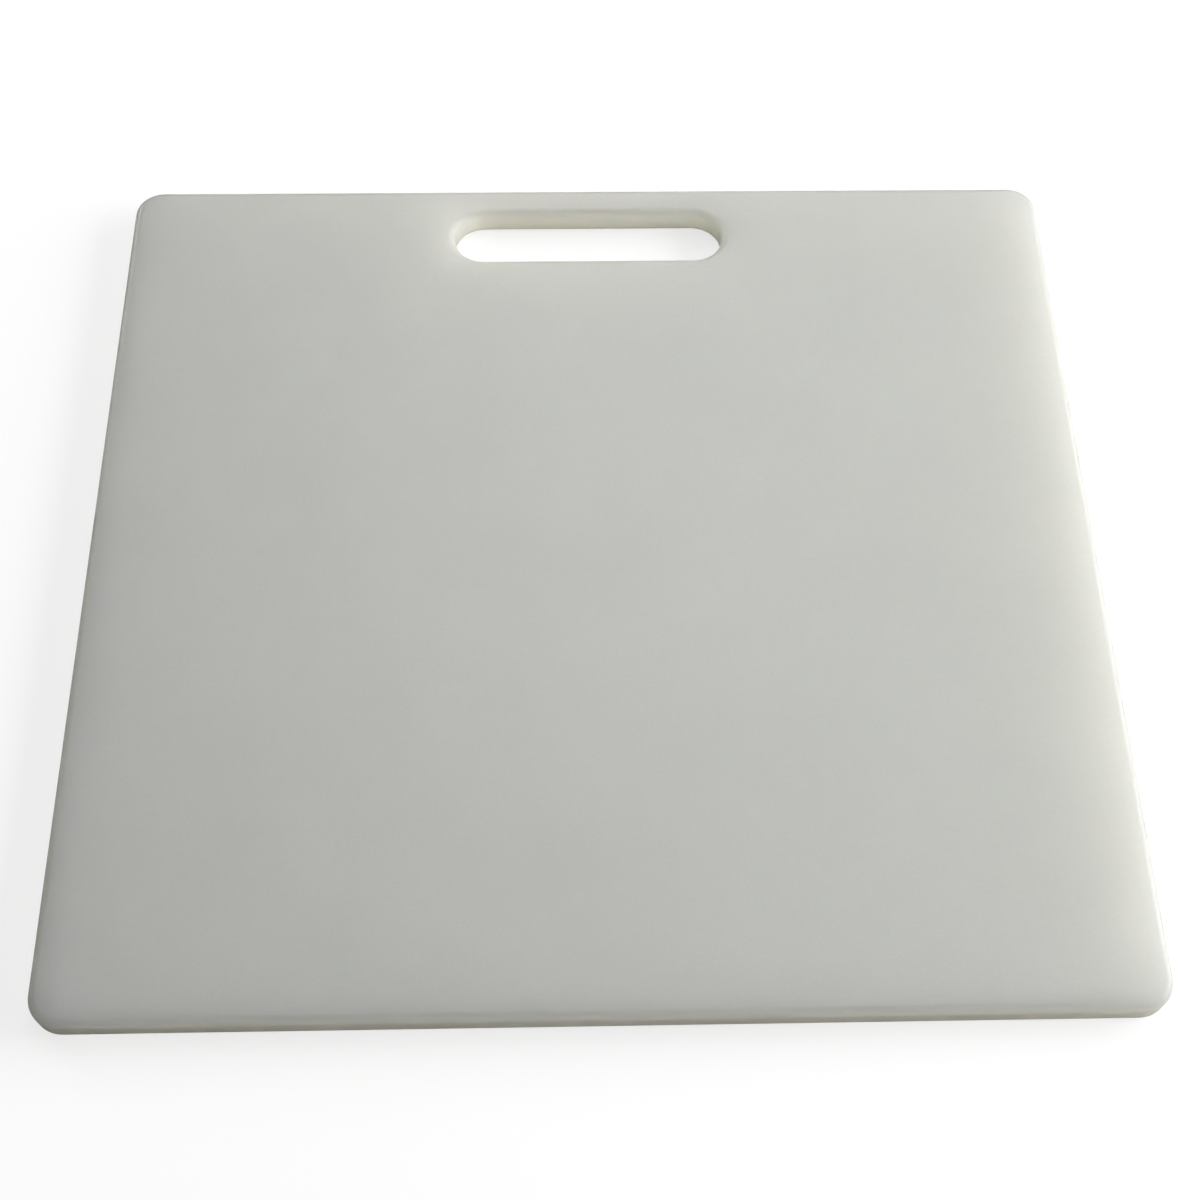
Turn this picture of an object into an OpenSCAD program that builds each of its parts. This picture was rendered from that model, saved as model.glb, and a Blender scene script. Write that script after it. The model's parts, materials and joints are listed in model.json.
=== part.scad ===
// Commercial cutting board routed from one sheet of white polyethylene.
// Origin at the middle of the underside, +X along the width, +Y towards the hand slot, +Z up.

/* [Board] */
// Width of the board, left to right
board_w = 406.4; // [250:0.1:610]
// Depth of the board, front to back
board_d = 381; // [250:0.1:610]
// Thickness of the sheet
board_t = 12.7; // [9.5:0.1:25.4]
// Radius of the four corners, seen from above
corner_r = 12; // [6:0.5:40]
// Radius of the round-over along the top and bottom outer edges
edge_r = 3.2; // [0.5:0.1:4.5]

/* [Hand slot] */
// Length of the slot, end to end
slot_l = 119; // [90:1:160]
// Width of the slot, front to back
slot_w = 26; // [20:0.5:40]
// Width of the bar left between the slot and the far edge, which the fingers wrap around
slot_bar = 14.2; // [10:0.1:40]
// Radius of the round-over along the slot's top and bottom edges
slot_edge_r = 3.2; // [0.5:0.1:4.5]

/* [Look] */
// Colour of the sheet
sheet_colour = "ivory"; // [ivory, white, mintcream]

/* [Hidden] */
$fn = 96;
core_w = board_w - 2 * edge_r;
core_d = board_d - 2 * edge_r;
core_corner_r = corner_r - edge_r;
straight_w = board_w - 2 * corner_r;
straight_d = board_d - 2 * corner_r;
slot_r = slot_w / 2;
slot_straight = slot_l - slot_w;
slot_y = board_d / 2 - slot_bar - slot_r;

// Rectangle with round corners, centred on the origin.
module rounded_rectangle(w, d, r) {
    square([w, d - 2 * r], center = true);
    square([w - 2 * r, d], center = true);
    for (x = [-1, 1], y = [-1, 1])
        translate([x * (w / 2 - r), y * (d / 2 - r)])
            circle(r);
}

// Straight slot with half-round ends, centred on the origin.
module stadium(straight, r) {
    square([straight, 2 * r], center = true);
    for (x = [-1, 1])
        translate([x * straight / 2, 0])
            circle(r);
}

// Section through an edge: the sheet's full thickness, with its two outer corners
// rounded over to radius r. The inner side is at x = 0 and the outer at x = r.
module edge_section(r) {
    translate([0, r])
        square([r, board_t - 2 * r]);
    intersection() {
        square([r, board_t]);
        for (y = [r, board_t - r])
            translate([0, y])
                circle(r);
    }
}

// Straight stretch of edge along +X, starting at the origin, rounded towards -Y.
module edge_run(length, r) {
    rotate([90, 0, 90])
        linear_extrude(length)
            mirror([1, 0])
                edge_section(r);
}

// Sheet inside the round-overs, flat on both faces, with the hole for the slot.
module core() {
    linear_extrude(board_t)
        difference() {
            rounded_rectangle(core_w, core_d, core_corner_r);
            translate([0, slot_y])
                stadium(slot_straight, slot_r + slot_edge_r);
        }
}

// Rounded edge all the way round the outside.
module outer_edge() {
    for (turn = [0, 180])
        rotate([0, 0, turn]) {
            translate([-straight_w / 2, -core_d / 2, 0])
                edge_run(straight_w, edge_r);
            rotate([0, 0, 90])
                translate([-straight_d / 2, -core_w / 2, 0])
                    edge_run(straight_d, edge_r);
            translate([straight_w / 2, straight_d / 2, 0])
                rotate_extrude(angle = 90)
                    translate([core_corner_r, 0])
                        edge_section(edge_r);
            translate([-straight_w / 2, straight_d / 2, 0])
                rotate([0, 0, 90])
                    rotate_extrude(angle = 90)
                        translate([core_corner_r, 0])
                            edge_section(edge_r);
        }
}

// Rounded edge all the way round the hand slot, facing its middle.
module slot_edge() {
    translate([0, slot_y, 0])
        for (turn = [0, 180])
            rotate([0, 0, turn]) {
                translate([-slot_straight / 2, slot_r + slot_edge_r, 0])
                    edge_run(slot_straight, slot_edge_r);
                translate([slot_straight / 2, 0, 0])
                    rotate([0, 0, -90])
                        rotate_extrude(angle = 180)
                            translate([slot_r + slot_edge_r, 0])
                                mirror([1, 0])
                                    edge_section(slot_edge_r);
            }
}

// The whole board: one sheet with every edge rounded over and one hand slot.
module board() {
    color(sheet_colour) {
        core();
        outer_edge();
        slot_edge();
    }
}

board();
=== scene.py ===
"""White polyethylene cutting board: the visible board, its material, the light and the camera."""
import json
import math

import bmesh
import bpy
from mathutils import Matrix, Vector


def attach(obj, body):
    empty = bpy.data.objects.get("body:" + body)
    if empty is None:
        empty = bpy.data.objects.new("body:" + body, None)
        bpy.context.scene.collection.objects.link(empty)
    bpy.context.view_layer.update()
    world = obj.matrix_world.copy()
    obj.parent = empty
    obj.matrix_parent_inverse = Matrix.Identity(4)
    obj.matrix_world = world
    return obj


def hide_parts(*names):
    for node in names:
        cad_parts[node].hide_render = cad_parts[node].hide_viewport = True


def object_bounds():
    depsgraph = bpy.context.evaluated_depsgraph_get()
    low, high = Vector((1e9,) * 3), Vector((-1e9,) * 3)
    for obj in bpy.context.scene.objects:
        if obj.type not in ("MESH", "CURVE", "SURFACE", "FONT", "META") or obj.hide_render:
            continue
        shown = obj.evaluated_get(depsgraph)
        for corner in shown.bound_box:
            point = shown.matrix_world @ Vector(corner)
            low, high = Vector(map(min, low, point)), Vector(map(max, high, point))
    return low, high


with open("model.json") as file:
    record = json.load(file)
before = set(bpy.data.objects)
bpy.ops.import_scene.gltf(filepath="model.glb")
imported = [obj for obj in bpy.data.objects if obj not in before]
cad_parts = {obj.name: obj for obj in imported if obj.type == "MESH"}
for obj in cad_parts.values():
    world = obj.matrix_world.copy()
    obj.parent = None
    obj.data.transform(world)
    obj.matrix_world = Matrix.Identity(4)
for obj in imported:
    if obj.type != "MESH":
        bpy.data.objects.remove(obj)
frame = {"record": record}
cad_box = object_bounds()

MM = 0.001
MICRON = 0.000001

# Sizes of the sheet, in metres. The box gives the outside, the record the middle of the slot.
LOW, HIGH = cad_box
HALF_W = (HIGH.x - LOW.x) / 2
HALF_D = (HIGH.y - LOW.y) / 2
THICK = HIGH.z - LOW.z
CORNER_R = 12 * MM
EDGE_R = 3.2 * MM
SLOT_LENGTH = 119 * MM
SLOT_WIDTH = 26 * MM
SLOT_Y = next(m["pos_m"][1] for m in frame["record"]["mounts"] if m["name"] == "hand_slot")

# How finely the mesh is divided, and the width of the strip where a face's finish gives way to an edge's.
CORNER_STEPS = 18
SIDE_STEPS = 44
LONG_STEPS = 52
FACE_RINGS = 26
ROUND_STEPS = 10
WALL_STEPS = 4
FINISH_CHANGE = 0.3 * MM

# Polyethylene: its colour, and how far light spreads inside it, which is less far for blue.
WHITE = (0.80, 0.81, 0.76)
PLASTIC_IOR = 1.5
LIGHT_SPREAD = 58 * MM
LIGHT_SPREAD_RGB = (1.04, 1.0, 0.82)

# How much the colour varies, as its darkest and lightest share: slow clouds, a fine grain, and specks.
CLOUD_SIZE = 55 * MM
CLOUD_SHADE = (0.985, 1.0)
GRAIN_SIZE = 1.4 * MM
GRAIN_SHADE = (0.985, 1.005)
SPECK_SPACING = 16 * MM
SPECK_CORE = 0.012
SPECK_RIM = 0.024
SPECK_SHADE = (0.90, 1.0)

# Roughness of the rolled faces and the routed edges, and how far wear changes it either way.
FACE_ROUGHNESS = 0.37
ROUTED_ROUGHNESS = 0.33
WEAR_SIZE = 22 * MM
WEAR_ROUGHNESS = 0.03

# Relief: on the faces pebbles and drag marks, on the edges the cutter's lines and its chatter.
PEBBLE_SIZE = 0.9 * MM
PEBBLE_HEIGHT = 24 * MICRON
DRAG_WIDTH = 1.1 * MM
DRAG_STRETCH = (60, 1, 1)
DRAG_HEIGHT = 7 * MICRON
CUTTER_WIDTH = 0.3 * MM
CUTTER_STRETCH = (80, 80, 1)
CUTTER_HEIGHT = 7 * MICRON
CHATTER_SIZE = 0.8 * MM
CHATTER_HEIGHT = 8 * MICRON

# Nearly all of Blender's noise lies between these two values.
NOISE_LOW, NOISE_HIGH = 0.3, 0.7

# Camera, with its turns about X, Y and Z in degrees.
LENS_MM = 53.2
SENSOR_MM = 36
CAMERA_PLACE = (-0.0137, -0.3630, 0.6270)
CAMERA_TURN = (28.98, -0.791, -1.132)

# Floor that the board stands on, the studio's backdrop, and the table under the floor.
FLOOR_GAP = 0.2 * MM
BACKDROP_RADIUS = 8.0
TABLE_TAN = (0.68, 0.60, 0.46)
FLOOR_WHITE = (0.45, 0.45, 0.45)
FLOOR_GLOW = 0.74
BLACK = (0, 0, 0)
BACKDROP_GLOW = 0.77

# Softboxes, as (distance from the board's middle, side) in metres, and the usual height of one in degrees.
FAR_SOFTBOX = (2.0, 0.9)
NEAR_SOFTBOX = (0.9, 0.35)
LOW_ANGLE = 24

# Light panels that lie on the table beside the board and light its edges from below.
PANEL_SIZE = 0.6
PANEL_GAP = 10 * MM
PANEL_HEIGHT = 1 * MM


# ---------------------------------------------------------------- shape

def arc(centre, radius, start, stop, steps):
    """Points on an arc, angles in degrees, without its last point."""
    turn = [math.radians(start + (stop - start) * i / steps) for i in range(steps)]
    return [Vector((centre[0] + radius * math.cos(a), centre[1] + radius * math.sin(a))) for a in turn]


def line(a, b, steps):
    """Points on a straight line, without its last point."""
    a, b = Vector(a), Vector(b)
    return [a.lerp(b, i / steps) for i in range(steps)]


def outer_ring(inset):
    """The board's outline, this far inside its edge, anticlockwise from the right end of the far side."""
    x, y, r = HALF_W - CORNER_R, HALF_D - CORNER_R, CORNER_R - inset
    w, d = HALF_W - inset, HALF_D - inset
    ring = line((x, d), (-x, d), LONG_STEPS)
    ring += arc((-x, y), r, 90, 180, CORNER_STEPS)
    ring += line((-w, y), (-w, -y), SIDE_STEPS)
    ring += arc((-x, -y), r, 180, 270, CORNER_STEPS)
    ring += line((-x, -d), (x, -d), LONG_STEPS)
    ring += arc((x, -y), r, 270, 360, CORNER_STEPS)
    ring += line((w, -y), (w, y), SIDE_STEPS)
    ring += arc((x, y), r, 0, 90, CORNER_STEPS)
    return ring


def slot_ring(inset):
    """The slot's outline, this far back from its wall, with a point for each point of outer_ring."""
    r = SLOT_WIDTH / 2 + inset
    x = (SLOT_LENGTH - SLOT_WIDTH) / 2
    end_steps = SIDE_STEPS + 2 * CORNER_STEPS
    ring = line((x, SLOT_Y + r), (-x, SLOT_Y + r), LONG_STEPS)
    ring += arc((-x, SLOT_Y), r, 90, 270, end_steps)
    ring += line((-x, SLOT_Y - r), (x, SLOT_Y - r), LONG_STEPS)
    ring += arc((x, SLOT_Y), r, -90, 90, end_steps)
    return ring


def edge_section():
    """(inset, height) down the edge, from the flat top face to the flat bottom face, both ends included."""
    turn = [math.pi / 2 * i / ROUND_STEPS for i in range(ROUND_STEPS + 1)]
    top = [(EDGE_R * (1 - math.sin(a)), THICK - EDGE_R * (1 - math.cos(a))) for a in turn]
    low, high = EDGE_R, THICK - EDGE_R
    wall = [(0.0, high + (low - high) * i / WALL_STEPS) for i in range(1, WALL_STEPS)]
    bottom = [(inset, THICK - z) for inset, z in reversed(top)]
    return top + wall + bottom


def flat_rings(inner, outer, z):
    """Rings across a flat face, from the one round the slot to the one round the outside."""
    share = [i / FACE_RINGS for i in range(FACE_RINGS + 1)]
    return [[(*a.lerp(b, s), z) for a, b in zip(inner, outer)] for s in share]


def board_rings():
    """Every ring of the sheet, and whether it was routed: out across the top, down the edge, in and up."""
    section = edge_section()
    inner, outer = slot_ring(EDGE_R + FINISH_CHANGE), outer_ring(EDGE_R + FINISH_CHANGE)
    rings = [(ring, 0.0) for ring in flat_rings(inner, outer, THICK)]
    rings += [([(*p, z) for p in outer_ring(inset)], 1.0) for inset, z in section]
    rings += [(ring, 0.0) for ring in reversed(flat_rings(inner, outer, 0.0))]
    rings += [([(*p, z) for p in slot_ring(inset)], 1.0) for inset, z in reversed(section)]
    return rings


def board_mesh():
    """The sheet as one closed skin of quads, with routed = 1 on the edges that the router cut."""
    bm = bmesh.new()
    routed = bm.verts.layers.float.new("routed")
    grid = []
    for ring, cut in board_rings():
        grid.append([bm.verts.new(p) for p in ring])
        for vert in grid[-1]:
            vert[routed] = cut
    around = len(grid[0])
    for a, b in zip(grid, grid[1:] + grid[:1]):
        for i in range(around):
            j = (i + 1) % around
            bm.faces.new((a[i], b[i], b[j], a[j])).smooth = True
    bmesh.ops.recalc_face_normals(bm, faces=bm.faces)
    mesh = bpy.data.meshes.new("board_sheet")
    bm.to_mesh(mesh)
    bm.free()
    return mesh


def board():
    """The visible board, which stands for the CAD board and moves with its body."""
    sheet = bpy.data.objects.new("board_sheet", board_mesh())
    bpy.context.scene.collection.objects.link(sheet)
    sheet.data.materials.append(routed_polyethylene())
    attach(sheet, "root")
    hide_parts("board")


# ---------------------------------------------------------------- material

def add(tree, kind, sockets=None, **settings):
    """A new node with these settings. Each socket gets a plain value, or a link from an output."""
    node = tree.nodes.new(kind)
    for name, value in settings.items():
        setattr(node, name, value)
    for name, value in (sockets or {}).items():
        if isinstance(value, bpy.types.NodeSocket):
            tree.links.new(value, node.inputs[name])
        else:
            node.inputs[name].default_value = value
    return node


def combine(tree, operation, a, b, c=0.0):
    """One sum on numbers; c is used by MULTIPLY_ADD."""
    return add(tree, "ShaderNodeMath", {0: a, 1: b, 2: c}, operation=operation).outputs[0]


def remap(tree, value, low, high, start, stop):
    """Value from the span low..high, moved to start..stop and held there outside it."""
    sockets = {"Value": value, "From Min": low, "From Max": high, "To Min": start, "To Max": stop}
    return add(tree, "ShaderNodeMapRange", sockets).outputs["Result"]


def noise(tree, point, size, detail=0.0, stretch=(1, 1, 1), kind="2D"):
    """Noise from 0 to 1 with grains of this size in metres, drawn out by stretch along X, Y and Z."""
    scale = [1 / (size * s) for s in stretch]
    moved = add(tree, "ShaderNodeMapping", {"Vector": point, "Scale": scale})
    sockets = {"Vector": moved.outputs["Vector"], "Scale": 1.0, "Detail": detail}
    return add(tree, "ShaderNodeTexNoise", sockets, noise_dimensions=kind).outputs["Fac"]


def vary(tree, pattern, start, stop):
    """A pattern of noise, spread over start..stop."""
    return remap(tree, pattern, NOISE_LOW, NOISE_HIGH, start, stop)


def nearest_cell(tree, point, size, kind):
    """Distance to the middle of the nearest cell, in cells, for cells of this size in metres."""
    sockets = {"Vector": point, "Scale": 1 / size}
    return add(tree, "ShaderNodeTexVoronoi", sockets, voronoi_dimensions=kind).outputs["Distance"]


def face_height(tree, point):
    """Rolled face: a fine pebble texture with faint drag marks along the sheet. In metres."""
    pebble = combine(tree, "MULTIPLY", nearest_cell(tree, point, PEBBLE_SIZE, "2D"), -PEBBLE_HEIGHT)
    drag = noise(tree, point, DRAG_WIDTH, stretch=DRAG_STRETCH)
    return combine(tree, "MULTIPLY_ADD", drag, DRAG_HEIGHT, pebble)


def routed_height(tree, point):
    """Routed edge: lines that the cutter left along its path, and chatter across it. In metres."""
    lines = noise(tree, point, CUTTER_WIDTH, stretch=CUTTER_STRETCH, kind="3D")
    chatter = combine(tree, "MULTIPLY", noise(tree, point, CHATTER_SIZE), CHATTER_HEIGHT)
    return combine(tree, "MULTIPLY_ADD", lines, CUTTER_HEIGHT, chatter)


def mottling(tree, point):
    """Brightness of the plastic: slow clouding across the sheet, and a finer grain within it."""
    cloud = vary(tree, noise(tree, point, CLOUD_SIZE, detail=2), *CLOUD_SHADE)
    grain = vary(tree, noise(tree, point, GRAIN_SIZE, detail=1, kind="3D"), *GRAIN_SHADE)
    return combine(tree, "MULTIPLY", cloud, grain)


def specks(tree, point):
    """Brightness of the plastic at the few tiny darker specks that lie in it, and 1 elsewhere."""
    distance = nearest_cell(tree, point, SPECK_SPACING, "3D")
    return remap(tree, distance, SPECK_CORE, SPECK_RIM, *SPECK_SHADE)


def routed_polyethylene():
    """White high-density polyethylene: pale, slightly see-through, with matt faces and smoother edges."""
    material = bpy.data.materials.new("routed_polyethylene")
    material.use_nodes = True
    tree = material.node_tree
    shader = tree.nodes["Principled BSDF"]
    point = add(tree, "ShaderNodeTexCoord").outputs["Object"]
    routed = add(tree, "ShaderNodeAttribute", attribute_name="routed").outputs["Fac"]

    shader.subsurface_method = "BURLEY"
    shader.inputs["IOR"].default_value = PLASTIC_IOR
    shader.inputs["Subsurface Weight"].default_value = 1.0
    shader.inputs["Subsurface Radius"].default_value = LIGHT_SPREAD_RGB
    shader.inputs["Subsurface Scale"].default_value = LIGHT_SPREAD

    shade = combine(tree, "MULTIPLY", mottling(tree, point), specks(tree, point))
    tinted = add(tree, "ShaderNodeVectorMath", {"Vector": WHITE, "Scale": shade}, operation="SCALE")
    tree.links.new(tinted.outputs["Vector"], shader.inputs["Base Color"])

    finish = remap(tree, routed, 0.0, 1.0, FACE_ROUGHNESS, ROUTED_ROUGHNESS)
    wear = vary(tree, noise(tree, point, WEAR_SIZE, detail=3), -WEAR_ROUGHNESS, WEAR_ROUGHNESS)
    tree.links.new(combine(tree, "ADD", finish, wear), shader.inputs["Roughness"])

    heights = {"Factor": routed, "A": face_height(tree, point), "B": routed_height(tree, point)}
    height = add(tree, "ShaderNodeMix", heights).outputs["Result"]
    bump = add(tree, "ShaderNodeBump", {"Strength": 1.0, "Distance": 1.0, "Height": height})
    tree.links.new(bump.outputs["Normal"], shader.inputs["Normal"])
    return material


# ---------------------------------------------------------------- studio

def camera():
    """The camera, standing in front of the board and looking down at it."""
    data = bpy.data.cameras.new("camera")
    data.lens = LENS_MM
    data.sensor_width = SENSOR_MM
    obj = bpy.data.objects.new("camera", data)
    obj.location = CAMERA_PLACE
    obj.rotation_euler = [math.radians(angle) for angle in CAMERA_TURN]
    bpy.context.scene.collection.objects.link(obj)
    bpy.context.scene.camera = obj


def matt_paint(name, colour, glow):
    """Matt paint of this colour, which may also give off a little white light of its own."""
    material = bpy.data.materials.new(name)
    material.use_nodes = True
    shader = material.node_tree.nodes["Principled BSDF"]
    shader.inputs["Base Color"].default_value = (*colour, 1)
    shader.inputs["Roughness"].default_value = 1.0
    shader.inputs["Specular IOR Level"].default_value = 0.0
    shader.inputs["Emission Color"].default_value = (1, 1, 1, 1)
    shader.inputs["Emission Strength"].default_value = glow
    return material


def stage_piece(name, material, seen):
    """Name the last object made, a piece of the studio, and paint it. Either the camera sees it, or the
    board's light does.
    """
    obj = bpy.context.object
    obj.name = name
    obj.data.materials.append(material)
    obj.visible_camera = seen
    obj.visible_diffuse = obj.visible_glossy = obj.visible_transmission = not seen
    obj.visible_shadow = not seen


def studio():
    """A white floor and backdrop for the camera, and under them the tan table that lights the edges."""
    span = 2 * BACKDROP_RADIUS
    bpy.ops.mesh.primitive_plane_add(size=span, location=(0, 0, -FLOOR_GAP))
    stage_piece("floor", matt_paint("floor_white", FLOOR_WHITE, FLOOR_GLOW), True)
    bpy.ops.mesh.primitive_uv_sphere_add(radius=BACKDROP_RADIUS, location=(0, 0, -FLOOR_GAP))
    stage_piece("backdrop", matt_paint("backdrop_white", BLACK, BACKDROP_GLOW), True)
    bpy.ops.mesh.primitive_plane_add(size=span, location=(0, 0, -2 * FLOOR_GAP))
    stage_piece("table", matt_paint("table_tan", TABLE_TAN, 0), False)


def square_light(name, place, aim, side, power):
    """A square light in this place, facing this way. The camera doesn't see it."""
    data = bpy.data.lights.new(name, "AREA")
    data.size = side
    data.energy = power
    obj = bpy.data.objects.new(name, data)
    obj.location = place
    obj.rotation_mode = "QUATERNION"
    obj.rotation_quaternion = aim.to_track_quat("-Z", "Y")
    obj.visible_camera = False
    bpy.context.scene.collection.objects.link(obj)


def softbox(name, box, azimuth, elevation, power):
    """A softbox that faces the board's middle. Azimuth 0 is the board's right, 90 its far side."""
    distance, side = box
    turn, tilt = math.radians(azimuth), math.radians(elevation)
    across = distance * math.cos(tilt)
    place = Vector((across * math.cos(turn), across * math.sin(turn), distance * math.sin(tilt)))
    square_light(name, place, -place, side, power)


def table_panel(name, beside, power):
    """A light panel that lies on the table, facing up, beside the board in this direction from it."""
    reach = PANEL_SIZE / 2 + PANEL_GAP
    place = Vector((beside[0] * (HALF_W + reach), beside[1] * (HALF_D + reach), PANEL_HEIGHT))
    square_light(name, place, Vector((0, 0, 1)), PANEL_SIZE, power)


def lighting():
    """Soft light: the key low on the right, with more behind and above the board and a weak fill in front."""
    softbox("key", FAR_SOFTBOX, azimuth=0, elevation=LOW_ANGLE, power=24.6)
    softbox("key_far", FAR_SOFTBOX, azimuth=30, elevation=LOW_ANGLE, power=13.3)
    softbox("right_near", NEAR_SOFTBOX, azimuth=-30, elevation=LOW_ANGLE, power=0.85)
    softbox("behind_near", NEAR_SOFTBOX, azimuth=90, elevation=30, power=0.74)
    softbox("behind_left", FAR_SOFTBOX, azimuth=135, elevation=LOW_ANGLE, power=6.9)
    softbox("overhead", FAR_SOFTBOX, azimuth=90, elevation=62, power=4.8)
    softbox("front", FAR_SOFTBOX, azimuth=270, elevation=LOW_ANGLE, power=1.85)
    table_panel("panel_right", beside=(1, 0), power=0.8)
    table_panel("panel_front", beside=(0, -1), power=0.23)
    world = bpy.data.worlds.new("world")
    world.use_nodes = True
    world.node_tree.nodes["Background"].inputs["Strength"].default_value = 0.0
    bpy.context.scene.world = world
    bpy.context.scene.view_settings.view_transform = "Standard"


camera()
board()
studio()
lighting()
